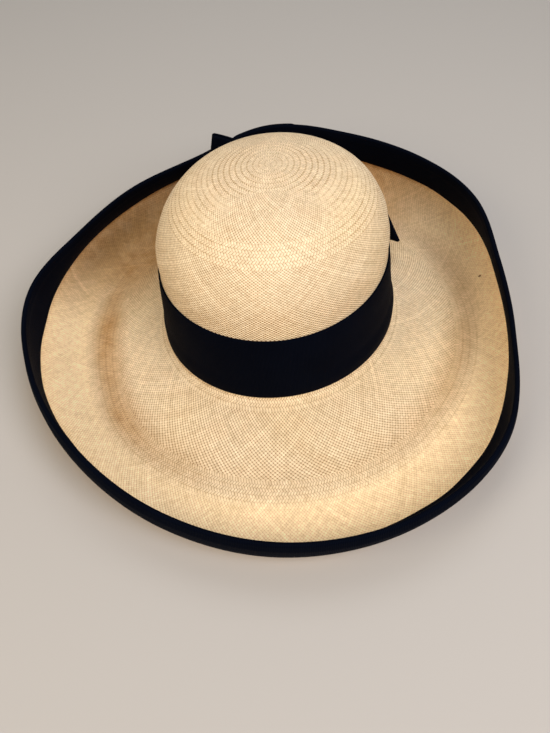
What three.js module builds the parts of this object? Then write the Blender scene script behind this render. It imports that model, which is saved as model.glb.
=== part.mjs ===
// Wide-brim straw hat, in millimetres, +Z up, resting on the lowest ring of its brim.
// The -Y side faces the viewer. The woven body is an oval crown and a brim that dips to a
// resting ring and then stands up like the wall of a bowl. A wide ribbon goes round the crown
// and ends in a flat bow at the back, and a folded ribbon binds the edge of the brim.
import * as THREE from 'three';

// Head opening: an oval whose long axis is turned from +X
const OVAL_LONG = 97.3;
const OVAL_SHORT = 89.8;
const OVAL_TURN = THREE.MathUtils.degToRad(57);

// Crown dome above the brim
const BRIM_TO_TOP = 128.7;
const DOME_ROUNDNESS = 2.15;
const DOME_SQUARENESS = 4.2;
const TOP_LEAN = { x: -2.6, y: 10.4 };
const DOME_STEPS = 9;
const DOME_END = THREE.MathUtils.degToRad(77);
const SIDE_LEVELS = [24.3, 44, 60];

// The wall keeps its thickness upwards from this height, and sideways outside this share of the
// radius
const CROWN_ROOF_FROM = 60;
const CROWN_TOP_SHARE = 0.25;

// How far the ribbon draws the crown's sides in, and how far they swell above it
const WAIST_TABLE = [
  { height: 24.3, left: 0, right: 0 },
  { height: 36, left: -1.5, right: -2.6 },
  { height: 55, left: -2, right: -4 },
  { height: 73, left: -2.1, right: -4.6 },
  { height: 92, left: 1, right: -1.6 },
  { height: 105, left: 1, right: 0.3 },
  { height: 120, left: 0.6, right: 1.5 },
  { height: 134, left: 0.3, right: 1.4 },
  { height: 144.7, left: 0, right: 0 },
];
const WAIST_SHARPNESS = 1.5;

// Brim and walls
const STRAW = 1.6;
const GAP = 0.3;
const COLLAR_BASE = 16;
const COLLAR_TOP = 24;
const COLLAR_RADIUS = 4.5;
const DIP_SLOPE = THREE.MathUtils.degToRad(-15);
const LEAST_SINE = 0.05;
const REST_HALF_WIDTH = 4;

// Ribbons
const RIBBON = 1;
const BAND_BOTTOM = 16.8;
const BAND_TOP = 73;
const BINDING_RIBBON = 0.9;
const BINDING_OUTER_SHARE = 0.8;

// Bow behind the crown: plan angle of its middle, and how far it stands from the crown's axis
const BOW_ANGLE = THREE.MathUtils.degToRad(71);
const BOW_BACK_LAYER = 103.5;
const BOW_FRONT_LAYER = 108;
const KNOT_HALF_WIDTH = 10;
const KNOT = { inner: 101.4, outer: 110, low: 25, high: 66.6, corner: 3 };

const SEGMENTS = 60;
const FLANK_STEPS = 5;
const WALL_STEPS = 4;

// The brim in plan, every 22.5 degrees from +X towards +Y: radius of the resting ring, radius and
// height where the binding starts, radius and height of the rim, and the wall's angle at the rim
const BRIM_COLUMNS = ['rest', 'edgeRadius', 'edgeHeight', 'rimRadius', 'rimHeight', 'rimAngle'];
const BRIM_TABLE = [
  [148, 180, 28.5, 171.5, 55.5, 94],
  [149, 186.5, 33, 180, 61.5, 97],
  [150, 194, 29.5, 189, 57, 96],
  [150, 197, 29, 191, 57, 94],
  [149, 200.5, 25.5, 200, 54, 95],
  [147, 198, 21, 182.5, 45, 104],
  [145, 193, 18, 180.5, 43, 107],
  [144, 192.5, 16, 182, 42.5, 99],
  [143, 192.5, 16, 196.5, 44.5, 88],
  [147, 198.5, 14.5, 200, 43, 98],
  [157, 200, 10.5, 205, 39, 108],
  [160, 206.5, 5.5, 212.5, 32.5, 104],
  [160, 211.5, 4.5, 220, 32, 99],
  [156, 207.5, 6.5, 219.5, 33, 103],
  [150, 200.5, 9, 209, 36, 102],
  [148, 187, 20.5, 181.5, 48.5, 95],
];

// Bow loops: how far each reaches from the knot, the ribbon's lower and upper edge there, and how
// much less the upper edge reaches. Both start from the same heights at the knot.
const LOOP_AT_KNOT = { reach: 1, low: 32, high: 58 };
const BOW_LOOPS = [
  { name: 'bow_loop_left', side: 1, reach: 101, low: 39.5, high: 92.5, slant: 10, turnBack: 3 },
  { name: 'bow_loop_right', side: -1, reach: 81, low: 20, high: 73, slant: 26, turnBack: -7 },
];

const strawMaterial = new THREE.MeshStandardMaterial({ color: 0xe3c995, roughness: 0.75, metalness: 0 });
const ribbonMaterial = new THREE.MeshStandardMaterial({ color: 0x0b0d14, roughness: 0.6, metalness: 0 });

// Value of one column of a table whose rows go evenly round the hat
function roundHat(table, column, angle) {
  const rows = table.length;
  const place = THREE.MathUtils.euclideanModulo(angle / (2 * Math.PI), 1) * rows;
  const row = Math.floor(place);
  const t = place - row;
  const at = (k) => table[(row + k + rows) % rows][column];
  const a = at(-1);
  const b = at(0);
  const c = at(1);
  const d = at(2);
  return b + 0.5 * t * (c - a + t * (2 * a - 5 * b + 4 * c - d + t * (3 * (b - c) + d - a)));
}

// One place round the hat: the angle in plan and the crown's outside radius at its base
function spoke(index) {
  const turn = (index / SEGMENTS) * 2 * Math.PI;
  const x = OVAL_LONG * Math.cos(turn);
  const y = OVAL_SHORT * Math.sin(turn);
  return { angle: Math.atan2(y, x) + OVAL_TURN, crownRadius: Math.hypot(x, y) };
}

// Share of the base radius that is left at a height on the crown
function domeShare(height) {
  const rise = Math.max(0, (height - COLLAR_BASE) / BRIM_TO_TOP);
  return Math.pow(Math.max(0, 1 - Math.pow(rise, DOME_SQUARENESS)), 1 / DOME_ROUNDNESS);
}

// Change of the crown's radius at a height and an angle in plan
function waist(height, angle) {
  const last = WAIST_TABLE.length - 2;
  let row = 0;
  while (row < last && WAIST_TABLE[row + 1].height <= height) row++;
  const below = WAIST_TABLE[row];
  const above = WAIST_TABLE[row + 1];
  const share = THREE.MathUtils.smoothstep(height, below.height, above.height);
  const facing = Math.cos(angle);
  const left = THREE.MathUtils.lerp(below.left, above.left, share);
  const right = THREE.MathUtils.lerp(below.right, above.right, share);
  return left * Math.max(0, -facing) ** WAIST_SHARPNESS + right * Math.max(0, facing) ** WAIST_SHARPNESS;
}

// The crown leans back a little above its joint with the brim
function lean(height) {
  const top = COLLAR_BASE + BRIM_TO_TOP;
  const share = Math.max(0, (height - COLLAR_TOP) / (top - COLLAR_TOP));
  return new THREE.Vector3(TOP_LEAN.x * share, TOP_LEAN.y * share, 0);
}

function polar(radius, angle, height) {
  return new THREE.Vector3(radius * Math.cos(angle), radius * Math.sin(angle), height);
}

function solid(points, faces) {
  const geometry = new THREE.BufferGeometry();
  geometry.setAttribute('position', new THREE.Float32BufferAttribute(points.flatMap((p) => p.toArray()), 3));
  geometry.setIndex(faces);
  geometry.computeVertexNormals();
  return geometry;
}

// Closed body swept round the hat. Each section is a loop of points that goes out along the
// bottom and back along the top. Every four-sided patch is cut from its lower corner on one
// section to its upper corner on the next, so that nested bodies stay parallel.
function sweptRing(sections) {
  const size = sections[0].length;
  const height = (j, i) => sections[j][i].z;
  const faces = [];
  sections.forEach((_, j) => {
    const next = (j + 1) % sections.length;
    for (let i = 0; i < size; i++) {
      const k = (i + 1) % size;
      const a = j * size + i;
      const b = j * size + k;
      const c = next * size + i;
      const d = next * size + k;
      const rising = height(j, k) + height(next, k) >= height(j, i) + height(next, i);
      if (rising) {
        faces.push(a, c, d, a, d, b);
      } else {
        faces.push(a, c, b, b, c, d);
      }
    }
  });
  return solid(sections.flat(), faces);
}

// Smooth curve between two points of a section that leaves and arrives at given angles
function bend(from, to, leaveAngle, arriveAngle, steps) {
  const chord = from.distanceTo(to);
  const rise = Math.abs(to.y - from.y);
  const arrive = Math.min(chord, (3 * rise) / Math.max(LEAST_SINE, Math.abs(Math.sin(arriveAngle))));
  const start = new THREE.Vector2(Math.cos(leaveAngle), Math.sin(leaveAngle)).multiplyScalar(chord / 3);
  const end = new THREE.Vector2(Math.cos(arriveAngle), Math.sin(arriveAngle)).multiplyScalar(arrive / 3);
  const curve = new THREE.CubicBezierCurve(from, from.clone().add(start), to.clone().sub(end), to);
  return curve.getPoints(steps).slice(1);
}

// Middle line of the straw at one place round the hat, from the collar out to the rim
function brimLine({ angle, crownRadius }) {
  const at = Object.fromEntries(BRIM_COLUMNS.map((name, i) => [name, roundHat(BRIM_TABLE, i, angle)]));
  const middle = crownRadius - STRAW / 2;
  const floor = STRAW / 2;
  const collar = [new THREE.Vector2(middle, COLLAR_TOP), new THREE.Vector2(middle, COLLAR_BASE)];
  const turn = COLLAR_RADIUS;
  const foot = new THREE.Vector2(middle + turn, COLLAR_BASE - turn);
  const restIn = new THREE.Vector2(at.rest - REST_HALF_WIDTH, floor);
  const restOut = new THREE.Vector2(at.rest + REST_HALF_WIDTH, floor);
  const edge = new THREE.Vector2(at.edgeRadius, at.edgeHeight);
  const rim = new THREE.Vector2(at.rimRadius, at.rimHeight);
  const rimAngle = THREE.MathUtils.degToRad(at.rimAngle);
  const chordAngle = Math.atan2(rim.y - edge.y, rim.x - edge.x);
  const edgeAngle = 2 * chordAngle - rimAngle;
  const inner = [
    ...collar,
    ...bend(collar[1], foot, -Math.PI / 2, DIP_SLOPE, 2),
    ...bend(foot, restIn, DIP_SLOPE, 0, 3),
    restOut,
    ...bend(restOut, edge, 0, edgeAngle, FLANK_STEPS),
  ];
  const line = [...inner, ...bend(edge, rim, edgeAngle, rimAngle, WALL_STEPS)];
  return { line, normals: upperNormals(line, floor) };
}

// Unit normals of a line, on its upper side when it runs outwards. The collar is upright and the
// resting ring is level.
function upperNormals(line, floor) {
  return line.map((point, i) => {
    if (i === 0) return new THREE.Vector2(1, 0);
    if (point.y === floor) return new THREE.Vector2(0, 1);
    const after = line[Math.min(line.length - 1, i + 1)];
    const along = after.clone().sub(line[i - 1]).normalize();
    return new THREE.Vector2(-along.y, along.x);
  });
}

function offsetLine(line, normals, distance) {
  return line.map((p, i) => p.clone().addScaledVector(normals[i], distance));
}

function crownGeometry() {
  const outside = [];
  for (let i = 0; i <= DOME_STEPS; i++) {
    const part = (i / DOME_STEPS) * DOME_END;
    const radius = Math.pow(Math.sin(part), 2 / DOME_ROUNDNESS);
    const height = COLLAR_BASE + BRIM_TO_TOP * Math.pow(Math.cos(part), 2 / DOME_SQUARENESS);
    outside.push(new THREE.Vector2(radius, height));
  }
  [...SIDE_LEVELS, BAND_TOP].reverse().forEach((z) => outside.push(new THREE.Vector2(domeShare(z), z)));
  // The inner wall follows the outer one, from the rim of the opening back to the axis
  const mean = (OVAL_LONG + OVAL_SHORT) / 2;
  const inside = outside.slice().reverse().map((p) => {
    const top = COLLAR_BASE + BRIM_TO_TOP;
    const drop = STRAW * Math.max(0, (p.y - CROWN_ROOF_FROM) / (top - CROWN_ROOF_FROM));
    const inset = (STRAW / mean) * Math.min(1, p.x / CROWN_TOP_SHARE);
    return new THREE.Vector2(Math.max(0, p.x - inset), p.y - drop);
  });
  const geometry = new THREE.LatheGeometry([...outside, ...inside].reverse(), SEGMENTS);
  geometry.rotateX(Math.PI / 2);
  geometry.scale(OVAL_LONG, OVAL_SHORT, 1);
  geometry.rotateZ(OVAL_TURN);
  const position = geometry.getAttribute('position');
  for (let i = 0; i < position.count; i++) {
    const x = position.getX(i);
    const y = position.getY(i);
    const z = position.getZ(i);
    const reach = Math.hypot(x, y);
    const share = reach > 0 ? 1 + waist(z, Math.atan2(y, x)) / reach : 1;
    const shift = lean(z);
    position.setXY(i, x * share + shift.x, y * share + shift.y);
  }
  geometry.computeVertexNormals();
  return geometry;
}

function brimGeometry() {
  return sweptRing(Array.from({ length: SEGMENTS }, (_, j) => {
    const place = spoke(j);
    const { line, normals } = brimLine(place);
    const lower = offsetLine(line, normals, -STRAW / 2);
    const upper = offsetLine(line, normals, STRAW / 2).reverse();
    return [...lower, ...upper].map((p) => polar(p.x, place.angle, p.y));
  }));
}

// The binding lies on both faces of the wall and folds over the rim in a half circle
function bindingGeometry() {
  const near = STRAW / 2 + GAP;
  const far = near + BINDING_RIBBON;
  return sweptRing(Array.from({ length: SEGMENTS }, (_, j) => {
    const place = spoke(j);
    const whole = brimLine(place);
    const wall = whole.line.slice(-WALL_STEPS - 1);
    const normals = whole.normals.slice(-WALL_STEPS - 1);
    const rim = wall[WALL_STEPS];
    const over = normals[WALL_STEPS];
    const fold = (radius) => [-60, 0, 60].map((degrees) => {
      const turned = over.clone().rotateAround(new THREE.Vector2(), THREE.MathUtils.degToRad(degrees - 90));
      return rim.clone().addScaledVector(turned, radius);
    });
    const outerSide = (distance) => {
      const side = offsetLine(wall, normals, -distance);
      side[0].lerp(side[1], 1 - BINDING_OUTER_SHARE);
      return side;
    };
    const loop = [
      ...outerSide(far),
      ...fold(far),
      ...offsetLine(wall, normals, far).reverse(),
      ...offsetLine(wall, normals, near),
      ...fold(near).reverse(),
      ...outerSide(near).reverse(),
    ];
    return loop.map((p) => polar(p.x, place.angle, p.y));
  }));
}

function bandGeometry() {
  const levels = [BAND_BOTTOM, ...SIDE_LEVELS, BAND_TOP];
  return sweptRing(Array.from({ length: SEGMENTS }, (_, j) => {
    const { angle, crownRadius } = spoke(j);
    const radius = (z) => crownRadius * domeShare(z) + waist(z, angle);
    const side = (clear) => levels.map((z) => polar(radius(z) + clear, angle, z).add(lean(z)));
    return [...side(GAP + RIBBON), ...side(GAP).reverse()];
  }));
}

// A ribbon standing on edge along a line of stations, as a closed body with square ends
function ribbonStrip(stations) {
  const points = [];
  stations.forEach((station, i) => {
    const before = stations[Math.max(0, i - 1)];
    const after = stations[Math.min(stations.length - 1, i + 1)];
    const along = new THREE.Vector2(after.x - before.x, after.y - before.y).normalize();
    const side = new THREE.Vector2(along.y, -along.x).multiplyScalar(RIBBON / 2);
    const corner = (sign, edge) => {
      const slant = edge === 'high' ? station.slant : 0;
      return new THREE.Vector3(station.x - slant + sign * side.x, station.y + sign * side.y, station[edge]);
    };
    points.push(corner(1, 'low'), corner(1, 'high'), corner(-1, 'high'), corner(-1, 'low'));
  });
  const faces = [];
  for (let i = 0; i + 1 < stations.length; i++) {
    for (let k = 0; k < 4; k++) {
      const a = i * 4 + k;
      const b = i * 4 + ((k + 1) % 4);
      faces.push(a, a + 4, b, b, a + 4, b + 4);
    }
  }
  const last = (stations.length - 1) * 4;
  faces.push(0, 1, 2, 0, 2, 3, last, last + 2, last + 1, last, last + 3, last + 2);
  return solid(points, faces);
}

// One loop of the bow: out along the back layer, round the end and back along the front layer.
// x runs along the bow, y away from the crown.
function loopGeometry(loop) {
  const middle = (BOW_BACK_LAYER + BOW_FRONT_LAYER) / 2;
  const half = (BOW_FRONT_LAYER - BOW_BACK_LAYER) / 2;
  const end = loop.reach - half;
  const outline = [];
  const straight = [0, 0.35, 0.7, 1].map((share) => LOOP_AT_KNOT.reach + share * (end - LOOP_AT_KNOT.reach));
  straight.forEach((x) => outline.push([x, -half]));
  [-45, 0, 45].forEach((degrees) => {
    const turn = THREE.MathUtils.degToRad(degrees);
    outline.push([end + half * Math.cos(turn), half * Math.sin(turn)]);
  });
  straight.reverse().forEach((x) => outline.push([x, half]));
  const stations = outline.map(([x, y]) => {
    const share = (x - LOOP_AT_KNOT.reach) / (loop.reach - LOOP_AT_KNOT.reach);
    const flare = share * (2 - share);
    return {
      x,
      y: middle + y + loop.turnBack * share * share,
      low: THREE.MathUtils.lerp(LOOP_AT_KNOT.low, loop.low, flare),
      high: THREE.MathUtils.lerp(LOOP_AT_KNOT.high, loop.high, flare),
      slant: loop.slant * share,
    };
  });
  const geometry = ribbonStrip(stations);
  if (loop.side > 0) {
    // Mirror to the other side of the knot and turn the faces back out
    geometry.scale(-1, 1, 1);
    const index = geometry.getIndex();
    for (let i = 0; i < index.count; i += 3) {
      const kept = index.getX(i + 1);
      index.setX(i + 1, index.getX(i + 2));
      index.setX(i + 2, kept);
    }
    geometry.computeVertexNormals();
  }
  return geometry;
}

// The knot is a short ribbon wrapped round the middle of both loops
function knotGeometry() {
  const frame = (inset, corner) => {
    const left = KNOT.inner + inset;
    const right = KNOT.outer - inset;
    const low = KNOT.low + inset;
    const high = KNOT.high - inset;
    const path = new THREE.Path();
    path.moveTo(left + corner, low);
    path.lineTo(right - corner, low);
    path.absarc(right - corner, low + corner, corner, -Math.PI / 2, 0);
    path.absarc(right - corner, high - corner, corner, 0, Math.PI / 2);
    path.absarc(left + corner, high - corner, corner, Math.PI / 2, Math.PI);
    path.absarc(left + corner, low + corner, corner, Math.PI, 1.5 * Math.PI);
    return path;
  };
  const shape = new THREE.Shape(frame(0, KNOT.corner).getPoints(4));
  shape.holes.push(new THREE.Path(frame(RIBBON, KNOT.corner - RIBBON).getPoints(4)));
  const geometry = new THREE.ExtrudeGeometry(shape, { depth: 2 * KNOT_HALF_WIDTH, bevelEnabled: false, steps: 1 });
  geometry.translate(0, 0, -KNOT_HALF_WIDTH);
  // Outline plane to distance from the crown and height, depth to along the bow
  const basis = new THREE.Matrix4().makeBasis(
    new THREE.Vector3(0, 1, 0),
    new THREE.Vector3(0, 0, 1),
    new THREE.Vector3(1, 0, 0),
  );
  geometry.applyMatrix4(basis);
  return geometry;
}

function piece(name, geometry, material) {
  const mesh = new THREE.Mesh(geometry, material.clone());
  mesh.name = name;
  return mesh;
}

const hat = new THREE.Group();
hat.add(piece('crown', crownGeometry(), strawMaterial));
hat.add(piece('brim', brimGeometry(), strawMaterial));
hat.add(piece('brim_binding', bindingGeometry(), ribbonMaterial));
hat.add(piece('crown_band', bandGeometry(), ribbonMaterial));

const bow = new THREE.Group();
bow.rotation.z = BOW_ANGLE - Math.PI / 2;
BOW_LOOPS.forEach((loop) => bow.add(piece(loop.name, loopGeometry(loop), ribbonMaterial)));
bow.add(piece('bow_knot', knotGeometry(), ribbonMaterial));
hat.add(bow);

// The origin is under the middle of the whole hat
const box = new THREE.Box3().setFromObject(hat, true);
hat.position.set(-(box.min.x + box.max.x) / 2, -(box.min.y + box.max.y) / 2, 0);

const group = new THREE.Group();
group.add(hat);
group.updateMatrixWorld(true);

export default group;
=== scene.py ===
import math

import bpy
import numpy as np
from mathutils import Matrix, Vector


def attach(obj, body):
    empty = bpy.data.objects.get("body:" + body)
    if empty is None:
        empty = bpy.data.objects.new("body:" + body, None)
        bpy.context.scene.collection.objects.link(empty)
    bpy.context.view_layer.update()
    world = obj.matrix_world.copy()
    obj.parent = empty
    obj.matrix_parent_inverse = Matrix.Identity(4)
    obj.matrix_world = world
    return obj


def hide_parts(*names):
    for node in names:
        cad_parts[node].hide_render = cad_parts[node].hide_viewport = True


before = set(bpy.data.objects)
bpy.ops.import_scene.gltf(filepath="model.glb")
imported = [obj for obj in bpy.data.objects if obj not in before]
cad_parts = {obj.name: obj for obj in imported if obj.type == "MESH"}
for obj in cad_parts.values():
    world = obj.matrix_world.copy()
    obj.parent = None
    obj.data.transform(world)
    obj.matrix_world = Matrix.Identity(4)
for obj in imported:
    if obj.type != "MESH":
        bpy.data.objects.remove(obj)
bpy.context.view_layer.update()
scene = bpy.context.scene

MM = 0.001
FULL_TURN = 2 * math.pi

# Head opening, dome and brim, in millimetres and with the same values as the solids
OVAL_LONG = 97.3
OVAL_SHORT = 89.8
OVAL_TURN = math.radians(57)
MEAN_RADIUS = (OVAL_LONG + OVAL_SHORT) / 2
BRIM_TO_TOP = 128.7
DOME_ROUNDNESS = 2.15
DOME_SQUARENESS = 4.2
TOP_LEAN = (-2.6, 10.4)
STRAW = 1.6
GAP = 0.3
COLLAR_BASE = 16
COLLAR_TOP = 24
COLLAR_RADIUS = 4.5
DIP_SLOPE = math.radians(-15)
REST_HALF_WIDTH = 4
RIBBON = 1
BAND_BOTTOM = 16.8
BAND_TOP = 73
BINDING_RIBBON = 0.9
BINDING_OUTER_SHARE = 0.8
BOW_ANGLE = math.radians(71)
BOW_BACK_LAYER = 103.5
BOW_FRONT_LAYER = 108
KNOT_HALF_WIDTH = 10
KNOT = {"inner": 101.4, "outer": 110, "low": 25, "high": 66.6}
LOOP_ROOT = {"reach": 1, "low": 32, "high": 58}
BOW_LOOPS = {
    "bow_loop_left": {"side": 1, "reach": 101, "low": 39.5, "high": 92.5, "slant": 10, "turn_back": 3},
    "bow_loop_right": {"side": -1, "reach": 81, "low": 20, "high": 73, "slant": 26, "turn_back": -7},
}

# The brim every 22.5 degrees from +X: radius of the resting ring, radius and height where the
# binding starts, radius and height of the rim, and the wall's angle at the rim
BRIM_TABLE = np.array([
    [148, 180, 28.5, 171.5, 55.5, 94],
    [149, 186.5, 33, 180, 61.5, 97],
    [150, 194, 29.5, 189, 57, 96],
    [150, 197, 29, 191, 57, 94],
    [149, 200.5, 25.5, 200, 54, 95],
    [147, 198, 21, 182.5, 45, 104],
    [145, 193, 18, 180.5, 43, 107],
    [144, 192.5, 16, 182, 42.5, 99],
    [143, 192.5, 16, 196.5, 44.5, 88],
    [147, 198.5, 14.5, 200, 43, 98],
    [157, 200, 10.5, 205, 39, 108],
    [160, 206.5, 5.5, 212.5, 32.5, 104],
    [160, 211.5, 4.5, 220, 32, 99],
    [156, 207.5, 6.5, 219.5, 33, 103],
    [150, 200.5, 9, 209, 36, 102],
    [148, 187, 20.5, 181.5, 48.5, 95],
])

# How far the ribbon draws the crown in, and how far the crown swells over it, in mm by height
WAIST_TABLE = np.array([
    # height, to the left, to the right
    [24.3, 0, 0],
    [36, -1.5, -2.6],
    [55, -2.0, -4.0],
    [73, -2.1, -4.6],
    [92, 1.0, -1.6],
    [105, 1.0, 0.3],
    [120, 0.6, 1.5],
    [134, 0.3, 1.4],
    [144.7, 0, 0],
])
WAIST_SHARPNESS = 1.5

# How finely the shown surfaces are built
AROUND = 360

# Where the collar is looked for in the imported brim
COLLAR_WITHIN = 125
LEVEL_TOLERANCE = 0.3


def crown_centre():
    """Plan position of the crown's axis, from the collar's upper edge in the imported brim, in mm."""
    points = np.array([v.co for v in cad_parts["brim"].data.vertices]) / MM
    near = np.hypot(points[:, 0], points[:, 1]) < COLLAR_WITHIN
    collar = points[near & (points[:, 2] > COLLAR_TOP - LEVEL_TOLERANCE)]
    return (collar[:, :2].min(0) + collar[:, :2].max(0)) / 2


CENTRE = crown_centre()


# Lines and surfaces of the hat. A line that arrives almost level still gets a short lead-in
LEAST_SINE = 0.05


def round_hat(column, angle):
    """Value of a column of the brim table at plan angles, smooth round the hat."""
    values = BRIM_TABLE[:, column]
    count = len(values)
    place = (angle / FULL_TURN) % 1 * count
    row = np.floor(place).astype(int)
    t = place - row
    a, b, c, d = (values[(row + k) % count] for k in (-1, 0, 1, 2))
    return b + 0.5 * t * (c - a + t * (2 * a - 5 * b + 4 * c - d + t * (3 * (b - c) + d - a)))


def spokes():
    """Plan angles and the crown's outside radius at its base, evenly round the oval."""
    turn = np.arange(AROUND) / AROUND * FULL_TURN
    x = OVAL_LONG * np.cos(turn)
    y = OVAL_SHORT * np.sin(turn)
    return np.arctan2(y, x) + OVAL_TURN, np.hypot(x, y)


def dome_share(height):
    """The dome's radius at heights, as a share of its radius at the base."""
    rise = np.clip((height - COLLAR_BASE) / BRIM_TO_TOP, 0, 1)
    return (1 - rise ** DOME_SQUARENESS) ** (1 / DOME_ROUNDNESS)


def waist(height, angle):
    """Change of the crown's radius at heights and plan angles, on its left and right sides."""
    levels = WAIST_TABLE[:, 0]
    row = np.clip(np.searchsorted(levels, height) - 1, 0, len(levels) - 2)
    t = np.clip((height - levels[row]) / (levels[row + 1] - levels[row]), 0, 1)
    t = t * t * (3 - 2 * t)
    left, right = (WAIST_TABLE[row, k] * (1 - t) + WAIST_TABLE[row + 1, k] * t for k in (1, 2))
    to_right = np.cos(angle)
    on_left = np.maximum(0, -to_right) ** WAIST_SHARPNESS
    on_right = np.maximum(0, to_right) ** WAIST_SHARPNESS
    return left * on_left + right * on_right


def lean(height):
    """How far the crown's axis leans to the right and back at heights."""
    top = COLLAR_BASE + BRIM_TO_TOP
    share = np.maximum(0, (height - COLLAR_TOP) / (top - COLLAR_TOP))
    return TOP_LEAN[0] * share, TOP_LEAN[1] * share


def bend(start, end, leave, arrive, steps):
    """Bezier from start to end, each an (r, z) pair of arrays, leaving and arriving at angles."""
    (r0, z0), (r1, z1) = start, end
    chord = np.hypot(r1 - r0, z1 - z0)
    rise = np.abs(z1 - z0)
    last = np.minimum(chord, 3 * rise / np.maximum(LEAST_SINE, np.abs(np.sin(arrive)))) / 3
    r_in = r0 + chord / 3 * np.cos(leave)
    z_in = z0 + chord / 3 * np.sin(leave)
    r_out = r1 - last * np.cos(arrive)
    z_out = z1 - last * np.sin(arrive)
    rows = []
    for k in range(1, steps + 1):
        t = k / steps
        w = ((1 - t) ** 3, 3 * t * (1 - t) ** 2, 3 * t * t * (1 - t), t ** 3)
        rows.append((w[0] * r0 + w[1] * r_in + w[2] * r_out + w[3] * r1,
                     w[0] * z0 + w[1] * z_in + w[2] * z_out + w[3] * z1))
    return rows


def brim_lines(angle, crown_radius, steps):
    """Middle line of the straw at every spoke, as arrays of rows by spokes. steps are the rows in
    the fold, the dip, the resting ring, the flank and the wall."""
    fold, dip, ring, flank, wall = steps
    rest, edge_r, edge_z, rim_r, rim_z, rim_deg = (round_hat(k, angle) for k in range(6))
    middle = crown_radius - STRAW / 2
    floor = STRAW / 2
    ones = np.ones_like(angle)
    base = (middle, COLLAR_BASE * ones)
    foot = (middle + COLLAR_RADIUS, (COLLAR_BASE - COLLAR_RADIUS) * ones)
    rest_in = (rest - REST_HALF_WIDTH, floor * ones)
    rest_out = (rest + REST_HALF_WIDTH, floor * ones)
    edge = (edge_r, edge_z)
    rim = (rim_r, rim_z)
    rim_angle = np.radians(rim_deg)
    edge_angle = 2 * np.arctan2(rim_z - edge_z, rim_r - edge_r) - rim_angle
    rows = [(middle, COLLAR_TOP * ones), base]
    rows += bend(base, foot, -math.pi / 2 * ones, DIP_SLOPE * ones, fold)
    rows += bend(foot, rest_in, DIP_SLOPE * ones, 0 * ones, dip)
    for k in range(1, ring + 1):
        rows.append((rest_in[0] + (rest_out[0] - rest_in[0]) * k / ring, floor * ones))
    rows += bend(rest_out, edge, 0 * ones, edge_angle, flank)
    rows += bend(edge, rim, edge_angle, rim_angle, wall)
    r = np.array([row[0] for row in rows])
    z = np.array([row[1] for row in rows])
    return r, z


def upper_normals(r, z):
    """Unit normals of the straw's middle line, towards its upper side."""
    dr = np.gradient(r, axis=0)
    dz = np.gradient(z, axis=0)
    size = np.hypot(dr, dz)
    return -dz / size, dr / size


def loop_points(r, z, angle):
    return np.stack([r * np.cos(angle), r * np.sin(angle), z], axis=-1)


def bell(value, middle, width):
    """1 at the middle, falling off smoothly on both sides over about the width."""
    return np.exp(-((value - middle) / width) ** 2)


# Meshes and pieces

def wrap_grid(name, points, map_name, u, v):
    """Piece from a grid of rows by spokes that closes round the hat and from last row to first.
    u and v are its UV map's values, u in turns round the hat, which count on over the joint."""
    rows, count = points.shape[:2]
    i, j = np.meshgrid(np.arange(rows), np.arange(count), indexing="ij")
    i2 = (i + 1) % rows
    j2 = (j + 1) % count
    corners_i = np.stack([i, i, i2, i2], axis=-1).reshape(-1, 4)
    corners_j = np.stack([j, j2, j2, j], axis=-1).reshape(-1, 4)
    seam = np.stack([0 * j, j2 < j, j2 < j, 0 * j], axis=-1).reshape(-1, 4).astype(float)
    uv = np.stack([u[corners_i, corners_j] + seam, v[corners_i, corners_j]], axis=-1)
    return mesh_piece(name, points, corners_i * count + corners_j, map_name, uv)


def strip_grid(name, points, map_name, u, v):
    """Piece from rows along a ribbon, each a closed ring round its section, with closed ends."""
    rows, count = points.shape[:2]
    i, j = np.meshgrid(np.arange(rows - 1), np.arange(count), indexing="ij")
    j2 = (j + 1) % count
    sides = np.stack([i * count + j, i * count + j2, (i + 1) * count + j2, (i + 1) * count + j], axis=-1)
    faces = list(sides.reshape(-1, 4))
    for first, reverse in ((0, True), ((rows - 1) * count, False)):
        for k in range(count // 2 - 1):
            ring = [first + k, first + k + 1, first + count - 2 - k, first + count - 1 - k]
            faces.append(ring[::-1] if reverse else ring)
    flat = np.stack([u, v], axis=-1).reshape(-1, 2)
    return mesh_piece(name, points, faces, map_name, flat[np.concatenate(faces)])


def mesh_piece(name, points, faces, map_name, uv):
    """Piece from points in mm about the crown's axis, with a pair of UV values to each corner."""
    placed = points.reshape(-1, 3) + np.array([CENTRE[0], CENTRE[1], 0])
    mesh = bpy.data.meshes.new(name)
    mesh.from_pydata((placed * MM).tolist(), [], [list(map(int, face)) for face in faces])
    layer = mesh.uv_layers.new(name=map_name)
    layer.data.foreach_set("uv", uv.reshape(-1).astype(np.float32))
    mesh.polygons.foreach_set("use_smooth", [True] * len(mesh.polygons))
    piece = bpy.data.objects.new(name, mesh)
    scene.collection.objects.link(piece)
    mesh.update()
    if signed_volume(mesh) < 0:
        mesh.flip_normals()
    return piece


def signed_volume(mesh):
    """Below 0 where the faces look inwards."""
    mesh.calc_loop_triangles()
    points = np.array([v.co for v in mesh.vertices])
    corners = np.array([t.vertices[:] for t in mesh.loop_triangles])
    a, b, c = (points[corners[:, k]] for k in range(3))
    return float(np.einsum("ij,ij->i", a, np.cross(b, c)).sum())


def stand_for(piece, node, material):
    """Dresses a piece and puts it in the place of a CAD node."""
    piece.data.materials.append(material)
    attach(piece, "root")
    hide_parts(node)


# Building blocks of the materials

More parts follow.
